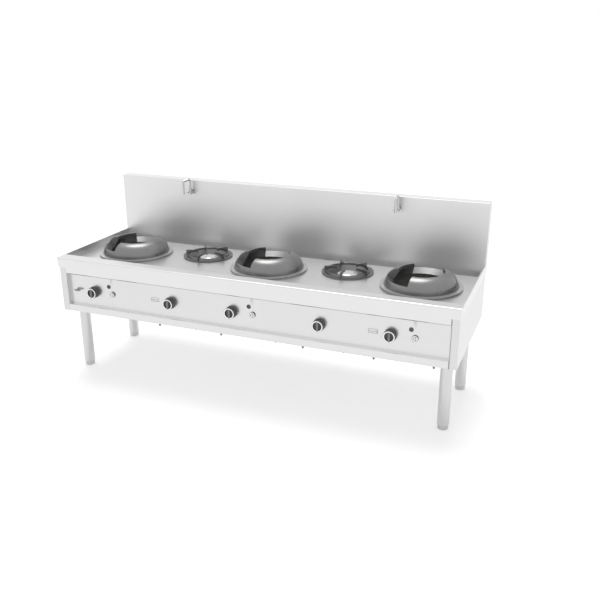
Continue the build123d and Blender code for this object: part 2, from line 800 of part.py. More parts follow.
# ---- Trivets, drip dishes and small burners -----------------------------------------
trivet_seat = z_deck + dish_sheet
dish_slope = (dish_radius - dish_sheet - dish_floor_radius) / dish_depth
skirt_end = dish_floor + dish_sheet + trivet_skirt_height
skirt_outer = dish_floor_radius + dish_slope * trivet_skirt_height - trivet_skirt_gap
skirt_top = dish_radius - dish_sheet - trivet_skirt_gap
for number, (x, y) in enumerate(small_spots, 1):
    with BuildPart() as trivet:
        trivet_turned = ring_section(
            [
                (skirt_outer, skirt_end),
                (skirt_top, trivet_seat),
                (trivet_radius, trivet_seat),
                (trivet_radius, z_deck + trivet_base_height),
                (trivet_collar_foot, z_deck + trivet_base_height),
                (trivet_collar_outer, z_deck + trivet_collar_height),
                (trivet_collar_radius, z_deck + trivet_collar_height),
                (trivet_collar_radius, z_deck + trivet_base_height),
                (skirt_outer - trivet_skirt, skirt_end),
            ]
        )
        with Locations((x, y)):
            add(trivet_turned)
        for index in range(fin_count):
            a = radians(fin_first + index * 360 / fin_count)
            plane = Plane(origin=(x, y, z_deck), x_dir=(cos(a), sin(a), 0), z_dir=(sin(a), -cos(a), 0))
            with BuildSketch(plane):
                with BuildLine():
                    Polyline(
                        (fin_outer_radius, fin_foot),
                        (fin_outer_radius, fin_height),
                        (fin_inner_radius, fin_height),
                        (fin_inner_radius, fin_height - fin_depth),
                        (trivet_collar_radius - fin_slope, fin_height - fin_depth),
                        (trivet_collar_radius, fin_root),
                        (trivet_collar_foot, fin_foot),
                        close=True,
                    )
                make_face()
            extrude(amount=fin_thickness / 2, both=True)
    save(trivet, f"trivet_{number}")

    with BuildPart() as drip_dish:
        dish_turned = ring_section(
            [
                (dish_flange_radius, z_deck),
                (dish_flange_radius, trivet_seat),
                (dish_radius - dish_sheet, trivet_seat),
                (dish_floor_radius, dish_floor + dish_sheet),
                (dish_hole_radius, dish_floor + dish_sheet),
                (dish_hole_radius, dish_floor),
                (dish_floor_radius + dish_sheet / 2, dish_floor),
                (dish_radius, z_deck),
            ]
        )
        with Locations((x, y)):
            add(dish_turned)
    save(drip_dish, f"drip_dish_{number}")

    with BuildPart() as small_burner:
        collar = dish_floor + dish_sheet
        head = collar + small_collar_thickness + small_head_gap
        small_turned = ring_section(
            [
                (0, control_z - small_pipe_radius),
                (small_pipe_radius, control_z - small_pipe_radius),
                (small_pipe_radius, collar - small_neck - small_reducer),
                (small_neck_radius, collar - small_neck),
                (small_neck_radius, collar),
                (small_collar_radius, collar),
                (small_collar_radius, collar + small_collar_thickness),
                (small_neck_radius, collar + small_collar_thickness),
                (small_neck_radius, head),
                (small_head_radius, head),
                (small_head_radius, head + small_head_thickness),
                (0, head + small_head_thickness + small_head_crown),
            ],
            (small_head_radius**2 + small_head_crown**2) / (2 * small_head_crown),
        )
        with Locations((x, y)):
            add(small_turned)
        with BuildSketch(facing(x, y, control_z)):
            Circle(line_boss_radius)
        extrude(amount=small_pipe_radius + line_boss)
    save(small_burner, f"small_burner_{number}")

# ---- Gas supply ---------------------------------------------------------------------
with BuildPart() as gas_manifold:
    add(
        pipe(
            [
                (knob_x[0] - manifold_overrun, manifold_y, manifold_z),
                (gas_inlet_x, manifold_y, manifold_z),
                (gas_inlet_x, inlet_end - gas_thread, manifold_z),
            ],
            gas_inlet_bend,
            manifold_radius,
        )
    )
    with BuildSketch(facing(gas_inlet_x, inlet_end, manifold_z)):
        Circle(gas_thread_radius)
    extrude(amount=gas_thread)
    with BuildSketch(Plane.XY.offset(manifold_z)):
        with Locations(*[(x, manifold_y) for x in knob_x]):
            Circle(manifold_boss_radius)
    extrude(amount=manifold_radius + manifold_boss)
save(gas_manifold, "gas_manifold")

with BuildPart() as gas_valves:
    boss_top = manifold_z + manifold_radius + manifold_boss
    for x in knob_x:
        with BuildSketch(facing(x, valve_end, control_z)):
            Circle(valve_radius)
        extrude(amount=valve_length)
        with BuildSketch(Plane.XY.offset(boss_top)):
            with Locations((x, manifold_y)):
                Circle(valve_leg_radius)
        extrude(amount=control_z - boss_top)
        with BuildSketch(facing(x, y_panel_back, control_z)):
            Circle(spindle_radius + running_clearance)
        extrude(amount=-spindle_bore_depth, mode=Mode.SUBTRACT)
save(gas_valves, "gas_valves")

with BuildPart() as gas_lines:
    line_end = wok_throat_radius + line_boss
    for x, y in wok_spots:
        start = x - knob_offset
        add(
            pipe(
                [(start, valve_end, control_z), (start, y, control_z), (x - line_end, y, control_z)],
                gas_line_bend,
                gas_line_radius,
            )
        )
    for x, y in small_spots:
        reach = y - small_pipe_radius - line_boss - valve_end
        with BuildSketch(facing(x, valve_end, control_z)):
            Circle(gas_line_radius)
        extrude(amount=-reach)
save(gas_lines, "gas_lines")

with BuildPart() as pilot_burners:
    for x, y in wok_spots:
        corner = (x + igniter_offset, y - pilot_back)
        add(
            pipe(
                [
                    (corner[0], igniter_end, control_z),
                    (*corner, control_z),
                    (*corner, bowl_floor + pilot_height),
                ],
                pilot_bend,
                pilot_radius,
            )
        )
save(pilot_burners, "pilot_burners")

# ---- Controls -----------------------------------------------------------------------
for number, x in enumerate(knob_x, 1):
    with BuildPart() as knob:
        back = y_panel - knob_gap
        body = knob_length - knob_gap - knob_grip_height
        with BuildSketch(facing(x, back, control_z)):
            Circle(knob_skirt_radius)
        extrude(amount=knob_skirt)
        with BuildSketch(facing(x, back, control_z)):
            Circle(knob_radius)
        extrude(amount=body)
        fillet(knob.edges().group_by(Axis.Y)[0], knob_edge)
        # Raised bright ring round the face, and the bar that the fingers turn.
        with BuildSketch(facing(x, back - body, control_z)):
            Circle(knob_radius - knob_edge)
            Circle(knob_radius - knob_edge - knob_ring_width, mode=Mode.SUBTRACT)
        extrude(amount=knob_ring_height)
        with BuildSketch(facing(x, back - body, control_z)):
            SlotOverall(knob_grip_length, knob_grip_width, rotation=90)
        extrude(amount=knob_grip_height)
        with BuildSketch(facing(x, back, control_z)):
            Circle(spindle_radius)
        extrude(amount=-(knob_gap + sheet + spindle_bore_depth - end_clearance))
    save(knob, f"knob_{number}")

with BuildPart() as igniter_bodies:
    for x in igniter_x:
        with BuildSketch(facing(x, y_panel, control_z)):
            Circle(bezel_radius)
        extrude(amount=bezel_height)
        with BuildSketch(facing(x, y_panel, control_z)):
            Circle(igniter_barrel_radius)
        extrude(amount=-(sheet + igniter_length))
        with BuildSketch(facing(x, y_panel - bezel_height, control_z)):
            Circle(button_radius + running_clearance)
        extrude(amount=-(button_length - button_proud + button_travel + seam), mode=Mode.SUBTRACT)
save(igniter_bodies, "igniter_bodies")

for number, x in enumerate(igniter_x, 1):
    with BuildPart() as igniter_button:
        button_face = y_panel - bezel_height - button_proud
        with BuildSketch(facing(x, button_face, control_z)):
            Circle(button_radius)
        extrude(amount=-button_length)
        fillet(igniter_button.edges().group_by(Axis.Y)[0], button_edge)
        with BuildSketch(facing(x, button_face, control_z)):
            with PolarLocations(button_dimple_pitch, button_dimples, button_dimple_first):
                Circle(button_dimple_radius)
        extrude(amount=-button_dimple_depth, mode=Mode.SUBTRACT)
    save(igniter_button, f"igniter_button_{number}")

with BuildPart() as sight_tubes:
    for x, y in wok_spots:
        bowl_front = y - sqrt(bowl_radius**2 - (sight_offset + sight_radius) ** 2)
        tube_front = y_panel - sight_proud
        with BuildSketch(facing(x + sight_offset, tube_front, sight_z)):
            Circle(sight_radius)
            Circle(sight_bore, mode=Mode.SUBTRACT)
        extrude(amount=tube_front - bowl_front)
save(sight_tubes, "sight_tubes")

with BuildPart() as rinse_valve:
    with BuildSketch(facing(rinse_x, y_panel, rinse_z)):
        Circle(rinse_flange_radius)
    extrude(amount=rinse_flange)
    with BuildSketch(facing(rinse_x, y_panel - rinse_proud, rinse_z)):
        Circle(rinse_radius)
    extrude(amount=-(rinse_proud + sheet + rinse_tail))
    with BuildSketch(facing(rinse_x, y_panel - rinse_proud, rinse_z)):
        Circle(lever_pin_radius + running_clearance)
    extrude(amount=-(lever_pin_length + end_clearance), mode=Mode.SUBTRACT)
save(rinse_valve, "rinse_valve")

with BuildPart() as rinse_handle:
    hub_back = y_panel - rinse_proud - lever_gap
    with BuildSketch(facing(rinse_x, hub_back, rinse_z)):
        Circle(rinse_radius)
        SlotOverall(rinse_lever_length, rinse_lever_width)
    extrude(amount=tap_lever_thickness)
    with BuildSketch(facing(rinse_x, hub_back, rinse_z)):
        Circle(lever_pin_radius)
    extrude(amount=-(lever_gap + lever_pin_length))
save(rinse_handle, "rinse_handle")

# ---- Taps and water -----------------------------------------------------------------
y_riser = y_splash - tap_reach
y_nose = y_riser - tap_nose
socket_top = tap_z + tap_socket
for name, x in (("left", -tap_x), ("right", tap_x)):
    with BuildPart() as tap_body:
        with BuildSketch(facing(x, y_splash, tap_z)):
            Circle(tap_flange_radius)
        extrude(amount=tap_flange)
        with BuildSketch(facing(x, y_splash, tap_z)):
            Circle(tap_radius)
        extrude(amount=y_splash - y_nose)
        with BuildSketch(Plane.XY.offset(tap_z)):
            with Locations((x, y_riser)):
                Circle(tap_radius)
        extrude(amount=tap_socket)
        with BuildSketch(facing(x, y_splash, tap_z)):
            Circle(tap_tail_radius)
        extrude(amount=-(water_setback - water_tee_radius))
        with BuildSketch(Plane.XY.offset(socket_top)):
            with Locations((x, y_riser)):
                Circle(spout_radius + running_clearance)
        extrude(amount=-(spout_engagement + end_clearance), mode=Mode.SUBTRACT)
        with BuildSketch(facing(x, y_nose, tap_z)):
            Circle(lever_pin_radius + running_clearance)
        extrude(amount=-(lever_pin_length / 2 + end_clearance), mode=Mode.SUBTRACT)
    save(tap_body, f"tap_body_{name}")

    with BuildPart() as tap_spout:
        bend_z = tap_z + spout_top
        outlet_x = x - spout_reach * sin(radians(spout_swing[name]))
        outlet_y = y_riser - spout_reach * cos(radians(spout_swing[name]))
        add(
            pipe(
                [
                    (x, y_riser, socket_top - spout_engagement),
                    (x, y_riser, bend_z),
                    (outlet_x, outlet_y, bend_z - spout_fall),
                    (outlet_x, outlet_y, bend_z - spout_fall - spout_drop),
                ],
                spout_bends,
                spout_radius,
                spout_radius - spout_wall,
            )
        )
        with BuildSketch(Plane.XY.offset(socket_top + spout_gap)):
            with Locations((x, y_riser)):
                Circle(spout_collar_radius)
                Circle(spout_radius - spout_wall, mode=Mode.SUBTRACT)
        extrude(amount=spout_collar)
    save(tap_spout, f"tap_spout_{name}")

    with BuildPart() as tap_lever:
        with BuildSketch(facing(x, y_nose - lever_gap, tap_z)):
            Circle(tap_hub_radius)
            with Locations((-tap_lever_length / 2, 0)):
                SlotOverall(tap_lever_length, tap_lever_width)
        extrude(amount=tap_lever_thickness)
        with BuildSketch(facing(x, y_nose - lever_gap, tap_z)):
            Circle(lever_pin_radius)
        extrude(amount=-(lever_gap + lever_pin_length / 2))
    save(tap_lever, f"tap_lever_{name}")

with BuildPart() as water_pipe:
    add(
        pipe(
            [
                (tap_x + water_cap, water_y, tap_z),
                (rinse_x, water_y, tap_z),
                (rinse_x, water_y, rinse_z),
                (rinse_x, rinse_end, rinse_z),
            ],
            water_bend,
            water_radius,
        )
    )
    for x in (-tap_x, tap_x):
        with BuildSketch(facing(x, water_y, tap_z)):
            Circle(tap_tail_radius)
        extrude(amount=water_tee_radius)
    with BuildSketch(facing(rinse_x, water_y, water_inlet_z)):
        Circle(water_radius)
    extrude(amount=water_y - inlet_end + water_thread)
    with BuildSketch(facing(rinse_x, inlet_end, water_inlet_z)):
        Circle(water_thread_radius)
    extrude(amount=water_thread)
save(water_pipe, "water_pipe")

with BuildPart() as drain_outlet:
    with BuildSketch(Plane.XY.offset(z_gutter)):
        with Locations((drain_x, drain_y)):
            Circle(drain_flange_radius)
    extrude(amount=drain_wall)
    with BuildSketch(Plane.XY.offset(z_gutter)):
        with Locations((drain_x, drain_y)):
            Circle(drain_radius)
    extrude(amount=body_bottom - z_gutter)
    with BuildSketch(Plane.XY.offset(drain_end)):
        with Locations((drain_x, drain_y)):
            Circle(drain_spigot_radius)
    extrude(amount=drain_spigot)
    with BuildSketch(Plane.XY.offset(z_gutter + drain_wall)):
        with Locations((drain_x, drain_y)):
            Circle(drain_spigot_radius - drain_wall)
    extrude(amount=drain_end - z_gutter - drain_wall, mode=Mode.SUBTRACT)
save(drain_outlet, "drain_outlet")

# ---- Fasteners ----------------------------------------------------------------------
with BuildPart() as panel_screws:
    cover_step = cover_screw_span / (cover_screws - 1)
    cover_grid = (cover_step, 1, cover_screws, 1)
    panel_grid = (screw_span, panel_screw_step, 2, panel_screw_rows)
    for plane, grid in (
        (facing(0, y_cover, cover_screw_z), cover_grid),
        (facing((x_left + x_right) / 2, y_body_rear, panel_screw_z), panel_grid),
    ):
        for radius, length in ((screw_head_radius, -screw_head), (screw_radius, screw_grip)):
            with BuildSketch(plane):
                with GridLocations(*grid):
                    Circle(radius)
            extrude(amount=length)
save(panel_screws, "panel_screws")

with BuildPart() as underside_bolts:
    with BuildSketch(Plane.XY.offset(body_bottom)):
        with Locations(*bolt_spots):
            RegularPolygon(bolt_nut_radius, 6)
    extrude(amount=-bolt_nut)
    with BuildSketch(Plane.XY.offset(body_bottom - bolt_nut - bolt_tip)):
        with Locations(*bolt_spots):
            Circle(bolt_radius)
    extrude(amount=bolt_nut + bolt_tip + 2 * sheet)
save(underside_bolts, "underside_bolts")
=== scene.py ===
import json
from math import cos, pi, radians, sin, tau

import bmesh
import bpy
from mathutils import Matrix, Vector

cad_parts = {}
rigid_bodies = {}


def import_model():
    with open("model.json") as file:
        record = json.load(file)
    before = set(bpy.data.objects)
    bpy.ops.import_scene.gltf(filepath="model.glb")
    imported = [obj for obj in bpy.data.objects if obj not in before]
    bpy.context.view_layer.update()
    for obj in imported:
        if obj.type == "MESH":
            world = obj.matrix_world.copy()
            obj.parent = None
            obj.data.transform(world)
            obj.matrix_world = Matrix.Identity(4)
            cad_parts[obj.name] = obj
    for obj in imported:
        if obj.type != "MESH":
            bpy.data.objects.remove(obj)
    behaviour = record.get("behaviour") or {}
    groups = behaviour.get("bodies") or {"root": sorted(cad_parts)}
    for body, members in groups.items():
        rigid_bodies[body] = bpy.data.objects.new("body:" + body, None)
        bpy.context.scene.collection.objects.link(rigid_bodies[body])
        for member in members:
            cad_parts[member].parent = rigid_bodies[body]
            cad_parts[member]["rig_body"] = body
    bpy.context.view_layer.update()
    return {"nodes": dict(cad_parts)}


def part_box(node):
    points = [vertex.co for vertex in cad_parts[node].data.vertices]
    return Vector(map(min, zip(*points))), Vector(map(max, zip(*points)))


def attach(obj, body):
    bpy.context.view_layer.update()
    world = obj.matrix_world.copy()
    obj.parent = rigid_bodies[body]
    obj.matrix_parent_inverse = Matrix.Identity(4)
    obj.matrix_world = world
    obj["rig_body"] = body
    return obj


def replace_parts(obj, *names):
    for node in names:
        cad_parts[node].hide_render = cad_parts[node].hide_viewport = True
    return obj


# The wok range's looks, in metres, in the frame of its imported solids: X to the operator's
# right, Y to the splashback, Z up, the origin on the floor.
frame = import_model()
nodes = frame["nodes"]
scene = bpy.context.scene


# ---- Places taken from the solids ----------------------------------------------------
def middle_of(name):
    """Middle of a solid's box."""
    low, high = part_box(name)
    return (low + high) / 2


front_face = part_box("worktop")[0].y
apron_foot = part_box("worktop")[0].z
rail_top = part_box("bottom_rail")[1].z
panel_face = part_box("control_panel")[0].y
post_inner_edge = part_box("side_panel_right")[0].x
ring_flange_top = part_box("wok_ring_1")[0].z + 0.013  # the flange is 13 mm thick
knobs = {number: middle_of(f"knob_{number}") for number in range(1, 6)}
buttons = [middle_of(f"igniter_button_{number}") for number in range(1, 4)]
pit_pitch = 0.008  # from a button's axis to the middle of each of its pits
pit_turns = (60, 180, 300)


# ---- Shader sums and nodes -----------------------------------------------------------
class Sum:
    """A number that varies over a surface. Python's operators on it add Math nodes."""

    def __init__(self, finish, socket):
        self.finish = finish
        self.socket = socket

    def _math(self, operation, *operands):
        made = self.finish.node("ShaderNodeMath", {"operation": operation}, dict(enumerate(operands)))
        return Sum(self.finish, made.outputs[0])

    def __add__(self, other):
        return self._math("ADD", self, other)

    def __radd__(self, other):
        return self._math("ADD", other, self)

    def __sub__(self, other):
        return self._math("SUBTRACT", self, other)

    def __rsub__(self, other):
        return self._math("SUBTRACT", other, self)

    def __mul__(self, other):
        return self._math("MULTIPLY", self, other)

    def __rmul__(self, other):
        return self._math("MULTIPLY", other, self)

    def __abs__(self):
        return self._math("ABSOLUTE", self)

    def root(self):
        return self._math("SQRT", self)

    def above(self, start, end):
        """0 before start, 1 after end, smooth between them."""
        made = self.finish.node(
            "ShaderNodeMapRange",
            {"interpolation_type": "SMOOTHSTEP"},
            {"Value": self, "From Min": start, "From Max": end},
        )
        return Sum(self.finish, made.outputs[0])


def add_node(tree, kind, settings=None, inputs=None):
    """Add a node: its settings first, then the value or the links of each socket."""
    made = tree.nodes.new(kind)
    for key, value in (settings or {}).items():
        setattr(made, key, value)
    for key, value in (inputs or {}).items():
        for one in value if isinstance(value, list) else [value]:
            one = one.socket if isinstance(one, Sum) else one
            if isinstance(one, bpy.types.NodeSocket):
                tree.links.new(one, made.inputs[key])
            else:
                made.inputs[key].default_value = one
    return made


class Finish:
    """One material: a Principled shader, and the nodes that vary it over the surface."""

    def __init__(self, name, colour, metallic=0.0):
        self.material = bpy.data.materials.new(name)
        self.material.use_nodes = True
        self.material.diffuse_color = opaque(colour)
        self.tree = self.material.node_tree
        self.shader = self.tree.nodes["Principled BSDF"]
        self.shader.inputs["Base Color"].default_value = opaque(colour)
        self.shader.inputs["Metallic"].default_value = metallic
        self.place = self.node("ShaderNodeTexCoord").outputs["Object"]
        axes = self.node("ShaderNodeSeparateXYZ", {}, {0: self.place})
        self.x, self.y, self.z = (Sum(self, axes.outputs[i]) for i in range(3))

    def node(self, kind, settings=None, inputs=None):
        return add_node(self.tree, kind, settings, inputs)

    def noise(self, scale, stretch=(1.0, 1.0, 1.0), detail=3.0):
        """Noise between about 0 and 1; a stretch below 1 draws it out along that axis."""
        mapped = self.node("ShaderNodeMapping", {}, {"Vector": self.place, "Scale": stretch})
        inputs = {"Vector": mapped.outputs[0], "Scale": scale, "Detail": detail}
        return Sum(self, self.node("ShaderNodeTexNoise", {}, inputs).outputs[0])

    def cells(self, scale):
        """Distance from the middle of the nearest cell."""
        made = self.node("ShaderNodeTexVoronoi", {}, {"Vector": self.place, "Scale": scale})
        return Sum(self, made.outputs["Distance"])

    def blend(self, factor, first, second):
        """Colour that goes from first to second."""
        made = self.node("ShaderNodeMix", {"data_type": "RGBA"}, {0: factor, 6: first, 7: second})
        return made.outputs[2]

    def drive(self, socket, value):
        """Link a value that varies to one of the shader's sockets."""
        value = value.socket if isinstance(value, Sum) else value
        self.tree.links.new(value, self.shader.inputs[socket])

    def bump(self, height, distance, strength):
        """Raise the surface by height times distance."""
        inputs = {"Height": height, "Distance": distance, "Strength": strength}
        self.drive("Normal", self.node("ShaderNodeBump", {}, inputs).outputs[0])


def grey(level, warmth=0.0):
    """A near-neutral colour, a little cooler or warmer."""
    return (level * (1 + warmth), level, level * (1 - warmth))


def opaque(colour):
    return (*colour, 1.0)


# ---- Finishes ------------------------------------------------------------------------
def sheet_steel(name, level, roughness, along, shade=None, painted_highlight=None):
    """Satin stainless sheet, ground along one axis, with faint handling marks.

    shade says where painted shade and a painted reflection make it darker, along folds, in gaps and above the
    igniters: 0 for not at all, 1 for nearly black.
    The last mask says where a painted highlight makes it nearly white.
    """
    finish = Finish(name, grey(level), 1.0)
    drawn = {"x": (0.008, 1.0, 1.0), "y": (1.0, 0.008, 1.0), "z": (1.0, 1.0, 0.008)}[along]
    grain = finish.noise(1400.0, drawn, 2.0)
    scratches = finish.noise(420.0, drawn, 4.0)
    clouds = finish.noise(3.2, detail=2.0)
    smears = finish.noise(11.0, (0.5, 1.0, 1.0), 3.0)
    tone = (grain - 0.5) * 0.5 + (clouds - 0.5) * 0.5 + 0.5
    colour = finish.blend(tone, opaque(grey(level * 0.96)), opaque(grey(level * 1.03)))
    # Painted shade and painted reflection: darker where the shade mask is 1.
    if shade:
        colour = finish.blend(shade(finish), colour, opaque(grey(level * 0.12)))
    # Painted highlight: nearly white where the bright mask is 1.
    if painted_highlight:
        colour = finish.blend(painted_highlight(finish), colour, opaque(grey(0.985)))
    finish.drive("Base Color", colour)
    finish.drive("Roughness", roughness + (grain - 0.5) * 0.06 + (smears - 0.5) * 0.08)
    finish.bump(grain * 0.6 + scratches.above(0.62, 0.8) * -0.8, 0.00004, 0.25)
    return finish.material


def round_steel(name, level, roughness):
    """Stainless tube, ground round its own upright axis."""
    finish = Finish(name, grey(level), 1.0)
    grain = finish.noise(700.0, (0.04, 0.04, 1.0), 2.0)
    clouds = finish.noise(6.0, detail=2.0)
    tone = (grain - 0.5) * 0.14 + (clouds - 0.5) * 0.06 + 0.5
    finish.drive("Base Color", finish.blend(tone, opaque(grey(level * 0.92)), opaque(grey(level * 1.05))))
    finish.drive("Roughness", roughness + (grain - 0.5) * 0.1)
    finish.bump(grain, 0.00005, 0.3)
    return finish.material


def polished_steel(name, level, roughness):
    """Bright pressed steel with the faint marks of its polishing."""
    finish = Finish(name, grey(level), 1.0)
    swirl = finish.noise(45.0, detail=4.0)
    marks = finish.noise(400.0, (1.0, 0.08, 1.0), 2.0)
    tone = (swirl - 0.5) * 0.2 + 0.5
    finish.drive("Base Color", finish.blend(tone, opaque(grey(level * 0.94)), opaque(grey(level * 1.03))))
    finish.drive("Roughness", roughness + (marks - 0.5) * 0.06 + (swirl - 0.5) * 0.05)
    finish.bump(marks, 0.00003, 0.3)
    return finish.material


def cast_iron(name, level, roughness, sand=0.00025, painted_sheen=None):
    """Sand-cast iron: a pebbled skin, darker in its pits; the last mask says where a painted sheen makes it
    lighter.
    """
    finish = Finish(name, grey(level), 0.8)
    pits = finish.cells(520.0)
    sandy = finish.noise(300.0, detail=5.0)
    clouds = finish.noise(14.0, detail=3.0)
    tone = (clouds - 0.5) * 0.5 + (sandy - 0.5) * 0.5 + 0.5
    colour = finish.blend(tone, opaque(grey(level * 0.8, 0.01)), opaque(grey(level * 1.2)))
    # Painted sheen: lighter where the mask is 1.
    if painted_sheen:
        colour = finish.blend(painted_sheen(finish), colour, opaque(grey(level * 2.4)))
    finish.drive("Base Color", colour)
    finish.drive("Roughness", roughness + (clouds - 0.5) * 0.12 + (sandy - 0.5) * 0.1)
    finish.bump(sandy * 0.7 + pits * 0.6, sand, 0.6)
    return finish.material


def plated(name, level, roughness, dark=None):
    """Bright plating with a hint of orange peel and finger marks; dark says where painted shade makes it
    nearly black.
    """
    finish = Finish(name, grey(level), 1.0)
    peel = finish.noise(500.0, detail=2.0)
    marks = finish.noise(60.0, detail=3.0)
    tint = finish.blend(marks, opaque(grey(level * 0.9)), opaque(grey(level)))
    # Painted shade: nearly black where the dark mask is 1.
    if dark:
        tint = finish.blend(dark(finish), tint, opaque(grey(0.05)))
    finish.drive("Base Color", tint)
    finish.drive("Roughness", roughness + marks.above(0.5, 0.75) * 0.08)
    finish.bump(peel, 0.00003, 0.25)
    return finish.material


def moulded(name, level, roughness):
    """Moulded plastic: fine spark-eroded grain and a little dust in it."""
    finish = Finish(name, grey(level))
    grain = finish.noise(2200.0, detail=2.0)
    dust = finish.noise(90.0, detail=3.0)
    dusty = finish.blend(dust.above(0.45, 0.8), opaque(grey(level)), opaque(grey(level * 1.35 + 0.004)))
    finish.drive("Base Color", dusty)
    finish.drive("Roughness", roughness + (grain - 0.5) * 0.18)
    finish.bump(grain, 0.00005, 0.4)
    return finish.material


def turned_brass(name):
    """Turned brass, a little dull."""
    finish = Finish(name, (0.62, 0.47, 0.22), 1.0)
    lathe = finish.noise(900.0, (0.05, 1.0, 0.05), 2.0)
    tarnish = finish.noise(40.0, detail=4.0)
    clean, dull = (0.66, 0.5, 0.24), (0.42, 0.31, 0.15)
    finish.drive("Base Color", finish.blend(tarnish.above(0.35, 0.75), opaque(clean), opaque(dull)))
    finish.drive("Roughness", 0.3 + tarnish * 0.2)
    finish.bump(lathe, 0.00004, 0.3)
    return finish.material


# ---- Where the finishes change -------------------------------------------------------
def on_front(at):
    """Upright front of the worktop's edge and of the corner posts."""
    return at.y.above(front_face + 0.004, front_face + 0.002)


def apron_fold_shade(at):
    """Painted shade: a dark line along the apron's lower fold, darker in places."""
    line = at.z.above(apron_foot + 0.0055, apron_foot + 0.0035) * on_front(at)
    return line * (0.5 + at.noise(6.0, detail=1.0).above(0.55, 0.66) * 0.5)


def post_gap_shade(at):
    """Painted shade: a dark line down the inner edge of the right corner post, where it meets the recess."""
    fold = post_inner_edge + 0.004
    return abs(at.x - fold).above(0.003, 0.0015) * on_front(at) * 0.6


def painted_igniter_reflection(at):
    """Painted reflection of each igniter: a soft grey streak on the panel above it, darker upwards."""
    shift, half_width, raggedness, depth = -0.002, 0.016, 0.012, 0.3
    faint, full = buttons[0].z + 0.048, buttons[0].z + 0.115
    ragged = (at.noise(60.0) - 0.5) * raggedness
    total = 0.0
    for button in buttons:
        aside = abs(at.x - (button.x + shift)) + ragged
        total = total + aside.above(half_width, 0.0)
    return total * at.z.above(faint, full) * depth


def rail_ledge_highlight(at):
    """Upper fold of the bottom rail: painted highlight, nearly white as if the light fell on it."""
    fold = at.z.above(rail_top - 0.0025, rail_top - 0.001)
    return fold * at.y.above(front_face + 0.0008, front_face + 0.0025)


def flange_top(at):
    """Top of the wok rings' flange: painted sheen, lighter where the light falls on it."""
    below = at.z.above(ring_flange_top + 0.003, ring_flange_top + 0.0003)
    return below * at.z.above(ring_flange_top - 0.002, ring_flange_top - 0.0005)


def igniter_shade(at):
    """Painted shade: the igniters' sides, and a ring round each pit of their buttons, nearly black."""
    side_start, side_end = (0.0183, 0.0190), (0.030, 0.025)  # from the button's axis
    pit_edge = (1.3e-5, 0.9e-5)  # squared distance from the pit's middle
    total = 0.0
    for button in buttons:
        across, up = at.x - button.x, at.z - button.z
        out = (across * across + up * up).root()
        total = total + out.above(*side_start) * out.above(*side_end)
        for turn in pit_turns:
            aside = across - pit_pitch * cos(radians(turn))
            over = up - pit_pitch * sin(radians(turn))
            total = total + (aside * aside + over * over).above(*pit_edge)
    return total.above(0.0, 1.0)


# One satin stainless at several levels, each set to how bright its face looks under these lamps: the sides
# (0.65) and panel (0.68) are painted darker and the deck and splash (0.73) painted lighter, shaded and lit
# copies of one material.
panel_satin = sheet_steel("panel_satin", 0.68, 0.3, "x", painted_igniter_reflection)
plain_satin = sheet_steel("plain_satin", 0.7, 0.3, "x")
rail_satin = sheet_steel("rail_satin", 0.7, 0.3, "x", painted_highlight=rail_ledge_highlight)
deck_satin = sheet_steel("deck_satin", 0.73, 0.33, "x", apron_fold_shade)
splash_satin = sheet_steel("splash_satin", 0.73, 0.4, "x")
side_satin = sheet_steel("side_satin", 0.65, 0.3, "y", post_gap_shade)
bowl_steel = sheet_steel("fire_bowl_steel", 0.42, 0.42, "z")
leg_steel = round_steel("leg_tube_steel", 0.62, 0.24)
foot_steel = round_steel("foot_steel", 0.55, 0.3)
pipe_steel = round_steel("pipe_steel", 0.55, 0.35)
dish_steel = polished_steel("dish_steel", 0.85, 0.14)
tube_steel = polished_steel("sight_tube_steel", 0.14, 0.5)
zinc_steel = polished_steel("zinc_plated_steel", 0.5, 0.32)
bolt_steel = polished_steel("bolt_steel", 0.2, 0.4)
ring_iron = cast_iron("wok_ring_iron", 0.24, 0.3, painted_sheen=flange_top)
trivet_iron = cast_iron("trivet_iron", 0.19, 0.34)
burner_iron = cast_iron("burner_iron", 0.09, 0.5, 0.00015)
chrome = plated("chrome", 0.56, 0.1)
igniter_chrome = plated("igniter_chrome", 0.72, 0.2, igniter_shade)
bright_trim = plated("bright_trim", 0.85, 0.12)
black_plastic = moulded("black_plastic", 0.075, 0.34)
face_plastic = moulded("face_plastic", 0.08, 0.45)
grip_plastic = moulded("grip_plastic", 0.25, 0.4)
lever_plastic = moulded("lever_plastic", 0.3, 0.35)
# Near-black stand-in for the dark inside holes: painted shade in the jet bores, flame ports, screw recesses
# and button pits.
hole_shade_black = moulded("hole_shade_black", 0.008, 0.7)
mica = moulded("sight_mica", 0.13, 0.25)
mark_paint = moulded("mark_paint", 0.3, 0.5)
valve_brass = turned_brass("valve_brass")

# The finish of every solid, by the start of its name.
finishes = {
    "worktop": deck_satin,
    "splash": splash_satin,
    "side_panel_": side_satin,
    "control_panel": panel_satin,
    "bottom_rail": rail_satin,
    "bottom_tray": plain_satin,
    "back_panel": plain_satin,
    "underframe": plain_satin,
    "leg_": leg_steel,
    "foot_": foot_steel,
    "wok_bowl_": bowl_steel,
    "wok_burner_": burner_iron,
    "small_burner_": dish_steel,
    "wok_ring_": ring_iron,
    "trivet_": trivet_iron,
    "drip_dish_": dish_steel,
    "gas_manifold": pipe_steel,
    "gas_lines": pipe_steel,
    "pilot_burners": pipe_steel,
    "water_pipe": pipe_steel,
    "gas_valves": valve_brass,
    "knob_": black_plastic,
    "igniter_": igniter_chrome,
    "sight_tubes": tube_steel,
    "rinse_valve": chrome,
    "rinse_handle": lever_plastic,
    "tap_": chrome,
    "drain_outlet": dish_steel,
    "panel_screws": zinc_steel,
    "underside_bolts": zinc_steel,
}
for name, node in nodes.items():
    finish = next(material for start, material in finishes.items() if name.startswith(start))
    node.data.materials.clear()
    node.data.materials.append(finish)


